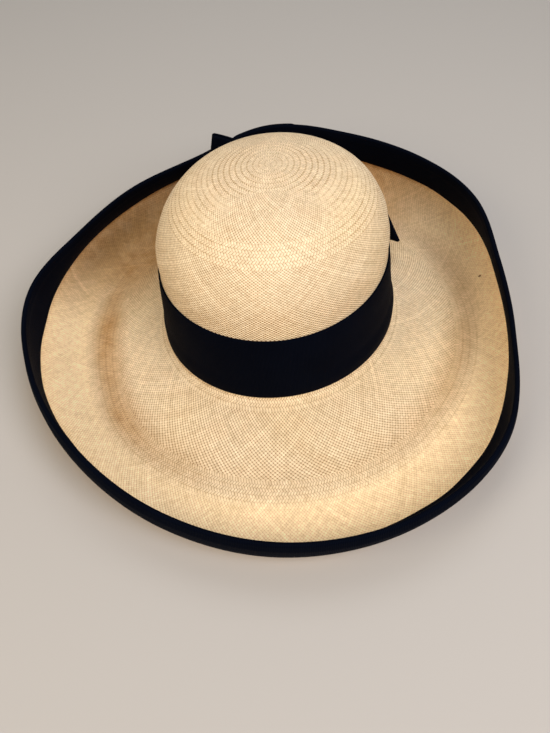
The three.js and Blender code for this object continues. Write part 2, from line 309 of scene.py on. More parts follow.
class Nodes:
    """Short names for the nodes of one material."""

    def __init__(self, name):
        self.material = bpy.data.materials.new(name)
        self.material.use_nodes = True
        self.tree = self.material.node_tree
        self.tree.nodes.clear()
        self.shader = self.tree.nodes.new("ShaderNodeBsdfPrincipled")
        output = self.tree.nodes.new("ShaderNodeOutputMaterial")
        self.tree.links.new(self.shader.outputs[0], output.inputs[0])

    def new(self, kind, **inputs):
        node = self.tree.nodes.new(kind)
        for key, value in inputs.items():
            self.put(node.inputs[key.replace("_", " ")], value)
        return node

    def put(self, socket, value):
        if isinstance(value, bpy.types.NodeSocket):
            self.tree.links.new(value, socket)
        else:
            socket.default_value = value

    def surface(self, **inputs):
        """Sets inputs of the material's shader."""
        for key, value in inputs.items():
            self.put(self.shader.inputs[key.replace("_", " ")], value)

    def math(self, operation, *values):
        node = self.tree.nodes.new("ShaderNodeMath")
        node.operation = operation
        for socket, value in zip(node.inputs, values):
            self.put(socket, value)
        return node.outputs[0]

    def add(self, a, b):
        return self.math("ADD", a, b)

    def sub(self, a, b):
        return self.math("SUBTRACT", a, b)

    def mul(self, a, b):
        return self.math("MULTIPLY", a, b)

    def above(self, value, limit):
        """1 where a value is above the limit, 0 elsewhere."""
        return self.math("GREATER_THAN", value, limit)

    def fold(self, value):
        """How far a value is from the middle between two whole numbers, 0 there and 1 on them."""
        return self.mul(self.math("ABSOLUTE", self.sub(self.math("FRACT", value), 0.5)), 2.0)

    def pillow(self, narrow, long, drops):
        """Height of a stroke from its fold values across and along, and its drop to each edge."""
        fall = self.mul(self.math("POWER", narrow, 2.0), drops[0])
        return self.sub(1.0, self.add(fall, self.mul(self.math("POWER", long, 3.0), drops[1])))

    def within(self, value, start, end, soft):
        """1 where a value is between start and end, with soft edges."""
        rise = self.ramp(value, start - soft, start + soft)
        return self.mul(rise, self.ramp(value, end - soft, end + soft, 1.0, 0.0))

    def ramp(self, value, low, high, low_out=0.0, high_out=1.0):
        """Smooth step of a value from low to high."""
        node = self.tree.nodes.new("ShaderNodeMapRange")
        node.interpolation_type = "SMOOTHSTEP"
        for socket, given in zip(node.inputs, (value, low, high, low_out, high_out)):
            self.put(socket, given)
        return node.outputs[0]

    def mix(self, factor, a, b):
        """Mix of two numbers."""
        return self.add(self.mul(a, self.sub(1.0, factor)), self.mul(b, factor))

    def blend(self, factor, a, b, kind="MIX"):
        """Mix of two colours."""
        node = self.tree.nodes.new("ShaderNodeMix")
        node.data_type = "RGBA"
        node.blend_type = kind
        self.put(node.inputs[0], factor)
        self.put(node.inputs[6], a)
        self.put(node.inputs[7], b)
        return node.outputs[2]

    def shaded(self, base, red, green, blue):
        """A colour darkened or lightened channel by channel."""
        shade = self.new("ShaderNodeCombineColor", Red=red, Green=green, Blue=blue).outputs[0]
        return self.blend(1.0, base, shade, "MULTIPLY")

    def uv(self, name):
        node = self.tree.nodes.new("ShaderNodeUVMap")
        node.uv_map = name
        split = self.new("ShaderNodeSeparateXYZ", Vector=node.outputs[0])
        return split.outputs[0], split.outputs[1]

    def place(self):
        """The point on the object, in metres."""
        return self.tree.nodes.new("ShaderNodeTexCoord").outputs["Object"]

    def noise(self, scale, detail, vector=None):
        """Soft noise, on the object's own place unless another vector is given."""
        node = self.new("ShaderNodeTexNoise", Scale=scale, Detail=detail)
        self.put(node.inputs["Vector"], self.place() if vector is None else vector)
        return node.outputs[0]

    def centred_noise(self, scale, detail, vector=None):
        return self.sub(self.noise(scale, detail, vector), 0.5)

    def vector(self, x, y):
        return self.new("ShaderNodeCombineXYZ", X=x, Y=y).outputs[0]

    def bump(self, height, distance, strength):
        return self.new("ShaderNodeBump", Height=height, Distance=distance, Strength=strength).outputs[0]

    def angle(self, turn):
        return self.mul(turn, FULL_TURN)

    def sideways(self, turn):
        """1 at the left and right of the hat, 0 in front and behind."""
        return self.math("ABSOLUTE", self.math("COSINE", self.angle(turn)))

    def facing(self, turn, towards):
        """1 where the hat's side faces a plan angle, -1 opposite."""
        return self.math("COSINE", self.sub(self.angle(turn), towards))


def colour(red, green, blue):
    """Linear colour from the 0 to 255 values that a screen shows."""
    def linear(value):
        share = value / 255
        return share / 12.92 if share <= 0.04045 else ((share + 0.055) / 1.055) ** 2.4
    return (linear(red), linear(green), linear(blue), 1)


# Straw

CREAM = colour(250, 226, 184)
WARM_CREAM = colour(250, 221, 166)
BLUSH = colour(250, 214, 168)
# Tan for the painted shade and browner straw in the brim's valley, and for the painted shadow behind the
# crown
TAN_AND_SHADE = colour(188, 143, 86)
# Painted light that brightens the brim's flank
LIT_FLANK_CREAM = colour(255, 224, 174)
GREYER = colour(233, 210, 173)
FLECK = colour(140, 98, 60)

# How much of the light comes back from the gaps between strands, red, green and blue, how much
# of a strand's darker tone and of the joints' shade shows in each, and the strands' own shade
GAP_SHADE = (0.48, 0.34, 0.22)
TONE_SHARES = (0.85, 1.0, 1.25)
JOINT_SHARES = (0.75, 1.0, 1.35)
STRAND_SHADE = 1.06
GAP_TO_STRAND = (-0.05, 0.62)
GAP_ROUGHNESS = 0.8
STRAND_ROUGHNESS = 0.5
STRAW_GLOSS = 0.4

# Drop of a stroke's height to its long edges and to its ends, for a strand of the first family
# that is on top, for one of the second family, and for a stroke in a zigzag row
FIRST_OVER = (0.95, 0.60)
SECOND_OVER = (0.85, 0.90)
ZIGZAG_STROKE = (1.0, 0.22)
WEAVE_DEPTH = 0.0004
WEAVE_STRENGTH = 0.7
FIBRE_SCALE = 700.0
FIBRE_HEIGHT = 0.35

# How far a zigzag stroke leans over one row, in strokes. Its joints with the next row show as
# dark dots: from where to where across a stroke they darken, and how much at either end
STROKE_SLANT = 0.5
JOINT_ROWS = (0.5, 1.0)
JOINT_DOTS = (0.25, 0.9, 0.45, 1.55)
ZONE_EDGE = 0.5

# Tones: of every stroke, of every strand along its length, and in larger clouds
STROKE_TONES = 0.20
STRAND_TONES = 0.26
STRAND_STEP = 0.42
STRAND_RUN = 0.014
SECOND_FAMILY_SHIFT = 40.0
CLOUD_SCALE = 34.0
CLOUD_TONES = 0.06
BLUSH_SCALE = 75.0
BLUSH_EDGES = (0.42, 0.62)
BLUSH_SHARE = 0.15
PATCH_SCALE = 9.0
PATCH_EDGES = (0.35, 0.7)

# Creases run along every so many strands, in patches, and are this much lighter
CREASE_EVERY = 19.0
CREASE_EDGE = 0.90
CREASE_LIGHT = 0.14
CREASE_PATCH = (0.05, 0.03)
CREASE_PATCH_EDGES = (0.5, 0.6)


def strand_tones(n, p, q):
    """Lightness added by strokes, strands, creases and clouds, on the two families' counts."""
    stroke = n.tree.nodes.new("ShaderNodeTexWhiteNoise")
    stroke.noise_dimensions = "2D"
    n.put(stroke.inputs["Vector"], n.vector(n.math("FLOOR", p), n.math("FLOOR", q)))
    along_p = n.vector(n.mul(p, STRAND_STEP), n.mul(q, STRAND_RUN))
    along_q = n.vector(n.mul(p, STRAND_RUN), n.add(n.mul(q, STRAND_STEP), SECOND_FAMILY_SHIFT))
    light = n.mul(n.sub(stroke.outputs[0], 0.5), STROKE_TONES)
    light = n.add(light, n.mul(n.centred_noise(1.0, 1.0, along_p), STRAND_TONES))
    light = n.add(light, n.mul(n.centred_noise(1.0, 1.0, along_q), STRAND_TONES))
    for strands, other in ((p, q), (q, p)):
        line = n.ramp(n.fold(n.mul(strands, 1 / CREASE_EVERY)), CREASE_EDGE, 1.0)
        spread = n.vector(n.mul(strands, CREASE_PATCH[0]), n.mul(other, CREASE_PATCH[1]))
        patch = n.ramp(n.noise(1.0, 1.0, spread), *CREASE_PATCH_EDGES)
        light = n.add(light, n.mul(n.mul(line, patch), CREASE_LIGHT))
    return n.add(light, n.mul(n.centred_noise(CLOUD_SCALE, 3.0), CLOUD_TONES))


def straw_material(name, weave, zones, tints):
    """Oblique weave of flat palm strands, on a UV map of turns round the hat and mm outwards.
    weave gives the number of strands round the hat and how far apart they are outwards, in mm.
    zones gives the rings worked in zigzag rows, as (inside, distance from the ring's start, row
    height, how dark the rows' joints are). tints gives a colour and how closed the gaps are."""
    n = Nodes(name)
    turn, along = n.uv("Weave")
    count, pitch = weave(n, turn, along)
    out = n.math("DIVIDE", along, pitch)

    # Two families of diagonal strands, over and under each other
    p = n.add(n.mul(count, turn), out)
    q = n.sub(n.mul(count, turn), out)
    over = n.math("FLOORED_MODULO", n.add(n.math("FLOOR", p), n.math("FLOOR", q)), 2.0)
    first = n.pillow(n.fold(q), n.fold(p), FIRST_OVER)
    second = n.pillow(n.fold(p), n.fold(q), SECOND_OVER)
    height = n.mix(over, second, first)

    # Rings of short strokes that slant to and fro
    joints = 0.0
    for inside, distance, row_height, dark in zones(n, turn, along):
        row = n.math("DIVIDE", distance, row_height)
        way = n.sub(n.mul(n.math("FLOORED_MODULO", n.math("FLOOR", row), 2.0), 2.0), 1.0)
        stroke = n.add(n.mul(count, turn), n.mul(n.mul(way, STROKE_SLANT), n.math("FRACT", row)))
        height = n.mix(inside, height, n.pillow(n.fold(stroke), n.fold(row), ZIGZAG_STROKE))
        between = n.ramp(n.fold(n.mul(row, 0.5)), *JOINT_ROWS)
        dots = n.ramp(n.fold(stroke), *JOINT_DOTS)
        joints = n.add(joints, n.mul(n.mul(n.mul(inside, between), dots), dark))
    height = n.add(height, n.mul(n.centred_noise(FIBRE_SCALE, 1.0), FIBRE_HEIGHT))

    # The colour, darker in the gaps and the joints
    base, closed = tints(n, turn, along)
    blush = n.ramp(n.noise(BLUSH_SCALE, 2.0), *BLUSH_EDGES)
    base = n.blend(n.mul(blush, BLUSH_SHARE), base, BLUSH)
    light = strand_tones(n, p, q)
    solid = n.ramp(height, *GAP_TO_STRAND)
    shades = []
    for gap, share, joint in zip(GAP_SHADE, TONE_SHARES, JOINT_SHARES):
        gap_shade = n.add(gap, n.mul(closed, STRAND_SHADE - gap))
        tone = n.sub(n.mul(light, share), n.mul(joints, joint))
        shades.append(n.mul(n.add(1.0, tone), n.mix(solid, gap_shade, STRAND_SHADE)))
    n.surface(
        Base_Color=n.shaded(base, *shades),
        Roughness=n.mix(solid, GAP_ROUGHNESS, STRAND_ROUGHNESS),
        Specular_IOR_Level=STRAW_GLOSS,
        Normal=n.bump(height, WEAVE_DEPTH, WEAVE_STRENGTH),
    )
    return n.material


def straw_patches(n):
    return n.blend(n.ramp(n.noise(PATCH_SCALE, 2.0), *PATCH_EDGES), CREAM, WARM_CREAM)


# The crown's weave, in mm from the apex: a rosette worked in rings, then strands that are added
# at two rings so that they stay about as wide, with zigzag rows at the second. Pairs of joint
# shades are for the front and back, and for the sides
ROSETTE_ROW = 2.1
ROSETTE_FRONT = 28.0
ROSETTE_SIDE = 46.0
ROSETTE_STRANDS_PER_ROW = 13.0
ROSETTE_JOINTS = (0.20, 0.42)
APEX_FADE = (4.0, 30.0, 0.55, 1.0)
CROWN_RINGS = (44.0, 66.0)
CROWN_STRANDS = (122.0, 172.0, 198.0)
CROWN_PITCHES = (2.4, 1.85)
CROWN_ZIGZAG_END = 83.0
CROWN_ZIGZAG_JOINTS = (0.10, 0.34)
CROWN_SIDES = (0.3, 0.9)
ZIGZAG_ROW = 2.1

# Faint rings go on beyond the rosette at the sides
FAINT_SIDES = (0.45, 0.95)
FAINT_RELIEF = 0.7
FAINT_JOINTS = 0.40

# The crown is greyer at the top, a painted cool reflection of the sky there, and its gaps are open at the
# foot, in front and behind
CROWN_TOP_SKY_SHEEN = (30.0, 75.0, 1.0, 0.5)
CROWN_CLOSED = 0.15
CROWN_FOOT = (104.0, 118.0)
CROWN_FOOT_CLOSED = -0.3
CROWN_FOOT_SIDES = (0.5, 0.9)


def rosette_edge(n, turn):
    """Where the rosette ends, nearer the apex in front and behind than at the sides."""
    wave = n.math("COSINE", n.mul(turn, 2 * FULL_TURN))
    middle = (ROSETTE_FRONT + ROSETTE_SIDE) / 2
    return n.add(middle, n.mul(wave, (ROSETTE_SIDE - ROSETTE_FRONT) / 2))


def crown_weave(n, turn, along):
    ring = n.math("FLOOR", n.math("DIVIDE", along, 2 * ROSETTE_ROW))
    rosette = n.mul(n.add(ring, 1.0), ROSETTE_STRANDS_PER_ROW)
    first, second, third = CROWN_STRANDS
    low = n.above(along, CROWN_RINGS[1])
    middle = n.mix(n.above(along, CROWN_RINGS[0]), first, second)
    outer = n.mix(low, middle, third)
    count = n.mix(n.above(along, rosette_edge(n, turn)), rosette, outer)
    return count, n.mix(low, *CROWN_PITCHES)


def crown_zones(n, turn, along):
    start = CROWN_RINGS[1]
    edge = rosette_edge(n, turn)
    sides = n.sideways(turn)
    at_side = n.ramp(sides, *CROWN_SIDES)
    rosette = n.math("LESS_THAN", along, edge)
    faint = n.mul(n.above(along, edge), n.math("LESS_THAN", along, start))
    faint = n.mul(faint, n.mul(n.ramp(sides, *FAINT_SIDES), FAINT_RELIEF))
    zigzag = n.within(along, start, CROWN_ZIGZAG_END, ZONE_EDGE)
    rosette_joints = n.mul(n.mix(at_side, *ROSETTE_JOINTS), n.ramp(along, *APEX_FADE))
    return [
        (rosette, along, ROSETTE_ROW, rosette_joints),
        (faint, along, ROSETTE_ROW, FAINT_JOINTS),
        (zigzag, n.sub(along, start), ZIGZAG_ROW, n.mix(at_side, *CROWN_ZIGZAG_JOINTS)),
    ]


def crown_tints(n, turn, along):
    # Painted cool sky reflection: the crown turns greyer towards its top
    base = n.blend(n.ramp(along, *CROWN_TOP_SKY_SHEEN), straw_patches(n), GREYER)
    foot = n.ramp(n.sideways(turn), *CROWN_FOOT_SIDES, CROWN_FOOT_CLOSED, CROWN_CLOSED)
    return base, n.ramp(along, *CROWN_FOOT, CROWN_CLOSED, foot)


# The brim's weave, 0 at the band's edge, 60 in the middle of the resting ring, in mm beyond it.
# Joints are fainter behind the crown
BRIM_STRANDS = (300.0, 506.0)
BRIM_PITCHES = (2.6, 2.8)
BRIM_RING = 60.0
BAND_ZIGZAG = (-1.35, 10.9)
BAND_ZIGZAG_ROW = 2.45
BAND_ZIGZAG_JOINTS = (0.10, 0.20)
RING_ZIGZAG = {"middle": 53.0, "front": 5.0, "right": 3.5, "width": 21.0, "row": 2.8}
RING_ZIGZAG_JOINTS = (0.10, 0.13)
BRIM_SIDES = (0.2, 0.9)
JOINTS_FRONT_TO_BACK = (-0.2, 0.5, 1.0, 0.25)

# Tints of the brim: greyer inside the ring, and on the flank painted light, a brighter cream with gaps
# more closed there, partly painted light and partly the weave's lower contrast
INNER_BRIM_GREYER = 0.6
INNER_CLOSED = 0.2
INNER_CLOSED_SIDES = (0.3, 0.95)
FLANK = (6.0, 22.0)
FLANK_CLOSED = 0.6

# The valley's painted shade over browner straw, in mm from the ring: where it deepens and ends, how strong
# it is from the front to the sides and from the left to the right, and how far out it lies at the back
# right
VALLEY_RISE = (-22.0, 2.0)
VALLEY_FALL = (2.0, 22.0)
VALLEY_SIDES = (0.2, 0.95, 0.15, 0.75)
VALLEY_RIGHTWARD = (-0.9, 0.9, 1.35, 0.75)
VALLEY_NOISE_SCALE = 20.0
VALLEY_NOISE = (0.3, 0.65, 0.75, 1.0)
FAR_VALLEY_ANGLE = math.radians(42)
FAR_VALLEY_EDGES = (0.4, 0.95)
FAR_VALLEY = 9.0

# Painted shadow of the crown, in brown, on the brim behind it, in mm from the ring and by the way the brim
# faces
BEHIND_ANGLE = math.radians(105)
BEHIND_EDGES = (0.2, 0.75)
BEHIND_INNER = (-34.0, -6.0, 0.45, 1.0)
BEHIND_OUTER = (4.0, 26.0, 1.0, 0.95)

# A brown fleck on the flank, to the right of the crown: distance from the axis in mm, and angle
FLECK_DISTANCE = 174.0
FLECK_ANGLE = math.radians(8.8)
FLECK_RADIUS = 1.3
FLECK_CORE = 0.6


def from_ring_zigzag(n, turn, along):
    """Distance out from where the second zigzag ring starts, farthest out in front."""
    angle = n.angle(turn)
    start = n.add(n.mul(n.math("SINE", angle), -RING_ZIGZAG["front"]), RING_ZIGZAG["middle"])
    start = n.add(start, n.mul(n.math("COSINE", angle), RING_ZIGZAG["right"]))
    return n.sub(along, start)


def brim_weave(n, turn, along):
    outer = n.above(from_ring_zigzag(n, turn, along), 0.0)
    return n.mix(outer, *BRIM_STRANDS), n.mix(outer, *BRIM_PITCHES)


def brim_zones(n, turn, along):
    at_side = n.ramp(n.sideways(turn), *BRIM_SIDES)
    in_front = n.ramp(n.math("SINE", n.angle(turn)), *JOINTS_FRONT_TO_BACK)
    out = from_ring_zigzag(n, turn, along)
    near_band = n.within(along, *BAND_ZIGZAG, ZONE_EDGE)
    near_ring = n.within(out, 0.0, RING_ZIGZAG["width"], ZONE_EDGE)
    band_joints = n.mul(n.mix(at_side, *BAND_ZIGZAG_JOINTS), in_front)
    ring_joints = n.mul(n.mix(at_side, *RING_ZIGZAG_JOINTS), in_front)
    return [
        (near_band, n.sub(along, BAND_ZIGZAG[0]), BAND_ZIGZAG_ROW, band_joints),
        (near_ring, out, RING_ZIGZAG["row"], ring_joints),
    ]


def valley_shade_and_tan(n, turn, from_ring):
    """How much painted shade and browner straw tone the brim gets in its valley, most at the left side."""
    far_out = n.ramp(n.facing(turn, FAR_VALLEY_ANGLE), *FAR_VALLEY_EDGES, 0.0, FAR_VALLEY)
    out = n.sub(from_ring, far_out)
    valley = n.mul(n.ramp(out, *VALLEY_RISE), n.ramp(out, *VALLEY_FALL, 1.0, 0.0))
    uneven = n.ramp(n.noise(VALLEY_NOISE_SCALE, 2.0), *VALLEY_NOISE)
    rightward = n.math("COSINE", n.angle(turn))
    strength = n.mul(n.ramp(n.sideways(turn), *VALLEY_SIDES), n.ramp(rightward, *VALLEY_RIGHTWARD))
    return n.mul(n.mul(valley, uneven), strength)


def painted_shadow_behind_crown(n, turn, from_ring):
    """How much painted shadow, in brown, the brim gets behind the crown."""
    deep = n.mul(n.ramp(from_ring, *BEHIND_INNER), n.ramp(from_ring, *BEHIND_OUTER))
    return n.mul(n.ramp(n.facing(turn, BEHIND_ANGLE), *BEHIND_EDGES), deep)


def fleck_tint(n):
    """1 inside the fleck, seen from above."""
    flat = n.new("ShaderNodeVectorMath", Vector=n.place())
    flat.operation = "MULTIPLY"
    flat.inputs[1].default_value = (1, 1, 0)
    away = n.tree.nodes.new("ShaderNodeVectorMath")
    away.operation = "DISTANCE"
    n.put(away.inputs[0], flat.outputs[0])
    away.inputs[1].default_value = (
        (CENTRE[0] + FLECK_DISTANCE * math.cos(FLECK_ANGLE)) * MM,
        (CENTRE[1] + FLECK_DISTANCE * math.sin(FLECK_ANGLE)) * MM,
        0,
    )
    radius = FLECK_RADIUS * MM
    return n.ramp(away.outputs["Value"], radius * FLECK_CORE, radius, 1.0, 0.0)


def brim_tints(n, turn, along):
    from_ring = n.sub(along, BRIM_RING)
    flank = n.ramp(from_ring, *FLANK)
    base = n.blend(INNER_BRIM_GREYER, straw_patches(n), GREYER)
    # Painted light on the flank, with its gaps more closed
    base = n.blend(flank, base, LIT_FLANK_CREAM)
    # Painted shade in the valley and painted shadow behind the crown, both in tan
    brown = n.math("MAXIMUM", valley_shade_and_tan(n, turn, from_ring), painted_shadow_behind_crown(n, turn, from_ring))
    base = n.blend(brown, base, TAN_AND_SHADE)
    closed = n.mul(n.ramp(n.sideways(turn), *INNER_CLOSED_SIDES), INNER_CLOSED)
    return n.blend(fleck_tint(n), base, FLECK), n.mix(flank, closed, FLANK_CLOSED)


# Ribbon

RIBBON_DARK = (0.0016, 0.0022, 0.0048, 1)
RIBBON_LIGHT = (0.0026, 0.0038, 0.0086, 1)
RIBBON_ROUGHNESS = 0.62
RIBBON_GLOSS = 0.012
RIBBON_GLOSS_TINT = (0.3, 0.5, 1.0, 1)
RIBBON_SHEEN = 0.005
RIBBON_SHEEN_ROUGHNESS = 0.35
RIBBON_SHEEN_TINT = (0.30, 0.45, 1.0, 1)
RIB_SHADE = (-0.2, 1.0, 0.75, 1.25)
RIB_DEPTH = 0.00025
RIB_STRENGTH = 0.6
THREAD_SCALE = 1400.0
RIBBON_CLOUD_SCALE = 30.0


def ribbon_material(name, ribs):
    """Grosgrain: fine ribs across the ribbon, very dark navy with a low bluish sheen. ribs is
    their number to one unit of the UV map's first value."""
    n = Nodes(name)
    turn = n.uv("Ribbon")[0]
    rib = n.math("SINE", n.mul(turn, ribs * FULL_TURN))
    height = n.add(n.mul(rib, 0.5), n.mul(n.noise(THREAD_SCALE, 2.0), 0.5))
    base = n.blend(n.noise(RIBBON_CLOUD_SCALE, 2.0), RIBBON_DARK, RIBBON_LIGHT)
    # Painted shade in the ribs' troughs and painted light on their crests
    rib_light_and_shade = n.ramp(rib, *RIB_SHADE)
    n.surface(
        Base_Color=n.shaded(base, rib_light_and_shade, rib_light_and_shade, rib_light_and_shade),
        Roughness=RIBBON_ROUGHNESS,
        Specular_IOR_Level=RIBBON_GLOSS,
        Specular_Tint=RIBBON_GLOSS_TINT,
        Sheen_Weight=RIBBON_SHEEN,
        Sheen_Roughness=RIBBON_SHEEN_ROUGHNESS,
        Sheen_Tint=RIBBON_SHEEN_TINT,
        Normal=n.bump(height, RIB_DEPTH, RIB_STRENGTH),
    )
    return n.material


# Crown

CROWN_ROWS = 130
FINE_STEPS = 4000
APEX_START = 0.02
WALL_THIN_FROM = 60.0

# Height of the raised rings of the rosette and the zigzag rows, and where they fade out, in mm
ROSETTE_RIDGE = 0.17
ROSETTE_RIDGE_PAST = 8
ROSETTE_RIDGE_FADE = 20
APEX_RIDGE_FADE = 6
ZIGZAG_RIDGE = 0.07
ZIGZAG_RIDGE_WIDTH = 8


def crown_meridian():
    """Distance from the apex in even steps down to the crown's foot, with share and height."""
    fine = np.linspace(0, 1, FINE_STEPS) * math.pi / 2
    fine_share = np.sin(fine) ** (2 / DOME_ROUNDNESS)
    fine_height = COLLAR_BASE + BRIM_TO_TOP * np.maximum(0, np.cos(fine)) ** (2 / DOME_SQUARENESS)
    step = np.hypot(np.diff(fine_share) * MEAN_RADIUS, np.diff(fine_height))
    length = np.concatenate([[0], np.cumsum(step)])
    foot = COLLAR_TOP + GAP
    out = np.linspace(APEX_START, length[fine_height >= foot][-1], CROWN_ROWS)
    share = np.interp(out, length, fine_share)
    height = np.interp(out, length, fine_height)
    share[-1] = dome_share(foot)
    height[-1] = foot
    return out, share, height


def crown_ridges(out):
    """How far the woven rings stand up along the surface's own normal."""
    rosette = ROSETTE_RIDGE * np.cos(math.pi * out / ROSETTE_ROW)
    rosette = rosette * np.clip((ROSETTE_SIDE + ROSETTE_RIDGE_PAST - out) / ROSETTE_RIDGE_FADE, 0, 1)
    rosette = rosette * np.clip(out / APEX_RIDGE_FADE, 0, 1)
    start, end = CROWN_RINGS[1], CROWN_ZIGZAG_END
    zigzag = ZIGZAG_RIDGE * np.cos(math.pi * (out - start) / ZIGZAG_ROW)
    return rosette + zigzag * bell(out, (start + end) / 2, ZIGZAG_RIDGE_WIDTH)


def build_crown():
    out, share, height = crown_meridian()
    turn = np.arange(AROUND) / AROUND * FULL_TURN
    inward = np.minimum(STRAW, share * MEAN_RADIUS)
    top = COLLAR_BASE + BRIM_TO_TOP
    down = STRAW * np.clip((height - WALL_THIN_FROM) / (top - WALL_THIN_FROM), 0, 1)
    ridge = crown_ridges(out)
    slope = np.arctan2(-np.gradient(height), np.gradient(share) * MEAN_RADIUS)

    def wall(offset, lift):
        x = OVAL_LONG * share[:, None] * np.cos(turn)
        y = OVAL_SHORT * share[:, None] * np.sin(turn)
        angle = np.arctan2(y, x) + OVAL_TURN
        radius = np.hypot(x, y) + offset[:, None] + waist(height[:, None], angle)
        shift_x, shift_y = lean(height[:, None])
        level = (height + lift)[:, None] + 0 * turn
        return loop_points(radius, level, angle) + np.stack([shift_x, shift_y, 0 * shift_x], axis=-1)

    outer = wall(ridge * np.sin(slope), ridge * np.cos(slope))
    inner = wall(-inward, -down)
    points = np.concatenate([outer, inner[::-1]])
    v = np.concatenate([out, out[::-1]])[:, None] + 0 * turn
    angle = np.unwrap(np.arctan2(OVAL_SHORT * np.sin(turn), OVAL_LONG * np.cos(turn))) + OVAL_TURN
    u = 0 * v + angle / FULL_TURN
    return wrap_grid("woven_crown", points, "Weave", u, v)


# Brim

BRIM_STEPS = (8, 50, 8, 50, 12)
BRIM_RIDGE = 0.13
BRIM_RIDGE_PITCH = 4.4
RING_RIDGE_WIDTH = 9
BAND_RIDGE_WIDTH = 5
BAND_RIDGE_SHARE = 0.7


def build_brim():
    angle, crown_radius = spokes()
    r, z = brim_lines(angle, crown_radius, BRIM_STEPS)
    nr, nz = upper_normals(r, z)
    step = np.hypot(np.diff(r, axis=0), np.diff(z, axis=0))
    along = np.vstack([np.zeros((1, AROUND)), np.cumsum(step, axis=0)])
    along = along - (COLLAR_TOP - BAND_BOTTOM)
    ring = along[(np.abs(r - round_hat(0, angle))).argmin(0), np.arange(AROUND)]
    out = np.where(along < ring, along / ring * BRIM_RING, along - ring + BRIM_RING)
    near_ring = bell(out, BRIM_RING, RING_RIDGE_WIDTH)
    near_band = BAND_RIDGE_SHARE * bell(out, sum(BAND_ZIGZAG) / 2, BAND_RIDGE_WIDTH)
    ridge = BRIM_RIDGE * np.cos(FULL_TURN * out / BRIM_RIDGE_PITCH) * np.maximum(near_ring, near_band)
    top = STRAW / 2 + ridge
    upper = loop_points(r + nr * top, z + nz * top, angle)
    lower = loop_points(r - nr * STRAW / 2, z - nz * STRAW / 2, angle)
    points = np.concatenate([lower, upper[::-1]])
    u = 0 * points[..., 0] + np.unwrap(angle) / FULL_TURN
    v = np.concatenate([out, out[::-1]])
    return wrap_grid("woven_brim", points, "Weave", u, v)


# Binding: ribbon folded over the rim. Its lower edges waver a little, its ends lap behind the
# crown, and a bead runs where the folded edge is stitched

BINDING_STEPS = 18
BINDING_BRIM_STEPS = (4, 12, 2, 16, BINDING_STEPS)
FOLD_DEGREES = [-75, -60, -45, -30, -15, 0, 15, 30, 45, 60, 75]
LAP_START = 84.0
LAP_END = 100.0
LAP_THICKNESS = 0.7
BEAD = 0.35
BEAD_ROW = 15.2
BEAD_WIDTH = 1.1
INNER_START = 0.02
OUTER_WAVE_SHARE = 0.6

# Share of the wall, times round the hat and start of each wave
BINDING_WAVES = ((0.010, 11, 0), (0.012, 17, 1.3), (0.008, 29, 0))


def build_binding():
    angle, crown_radius = spokes()
    r, z = brim_lines(angle, crown_radius, BINDING_BRIM_STEPS)
    nr, nz = upper_normals(r, z)
    r, z, nr, nz = (grid[-BINDING_STEPS - 1:] for grid in (r, z, nr, nz))
    near = STRAW / 2 + GAP
    degrees = np.degrees(angle) % 360
    lap = LAP_THICKNESS * ((degrees > LAP_START) & (degrees < LAP_END))
    far = near + BINDING_RIBBON + lap
    tr, tz = nz[-1], -nr[-1]
    wave = sum(share * np.sin(times * angle + start) for share, times, start in BINDING_WAVES)

    def side(distance, start, bead):
        """The wall's line moved along its normals, starting a share of the way up."""
        place = start + (1 - start) * np.linspace(0, 1, BINDING_STEPS + 1)[:, None]
        rows = np.clip(place * BINDING_STEPS + 0 * angle, 0, BINDING_STEPS - 1e-6)
        low = rows.astype(int)
        t = rows - low
        spoke = np.arange(AROUND)[None, :] + 0 * low
        away = distance + bead * bell(rows, BEAD_ROW, BEAD_WIDTH)
        pr, pz, qr, qz = (grid[low, spoke] * (1 - t) + grid[low + 1, spoke] * t for grid in (r, z, nr, nz))
        return list(zip(pr + away * qr, pz + away * qz))

    def fold(radius):
        """From the outer side over the rim to the inner side."""
        rows = []
        for degree in FOLD_DEGREES:
            a = math.radians(degree)
            rows.append((r[-1] + radius * (math.cos(a) * tr + math.sin(a) * nr[-1]),
                         z[-1] + radius * (math.cos(a) * tz + math.sin(a) * nz[-1])))
        return rows

    outer_start = (1 - BINDING_OUTER_SHARE) + OUTER_WAVE_SHARE * wave
    inner_start = wave + INNER_START
    outside = side(-far, outer_start, -BEAD) + fold(far) + side(far, inner_start, BEAD)[::-1]
    inside = side(-near, outer_start, 0) + fold(near) + side(near, inner_start, 0)[::-1]
    section = outside + inside[::-1]
    pr = np.array([row[0] for row in section])
    pz = np.array([row[1] for row in section])
    points = loop_points(pr, pz, angle)
    u = 0 * pr + np.arange(AROUND) / AROUND
    v = 0 * pr + np.arange(len(section))[:, None] / len(section)
    return wrap_grid("bound_edge", points, "Ribbon", u, v)


# Band: its edges are a little rounded by a selvedge

BAND_ROWS = 24
SELVEDGE = 0.3


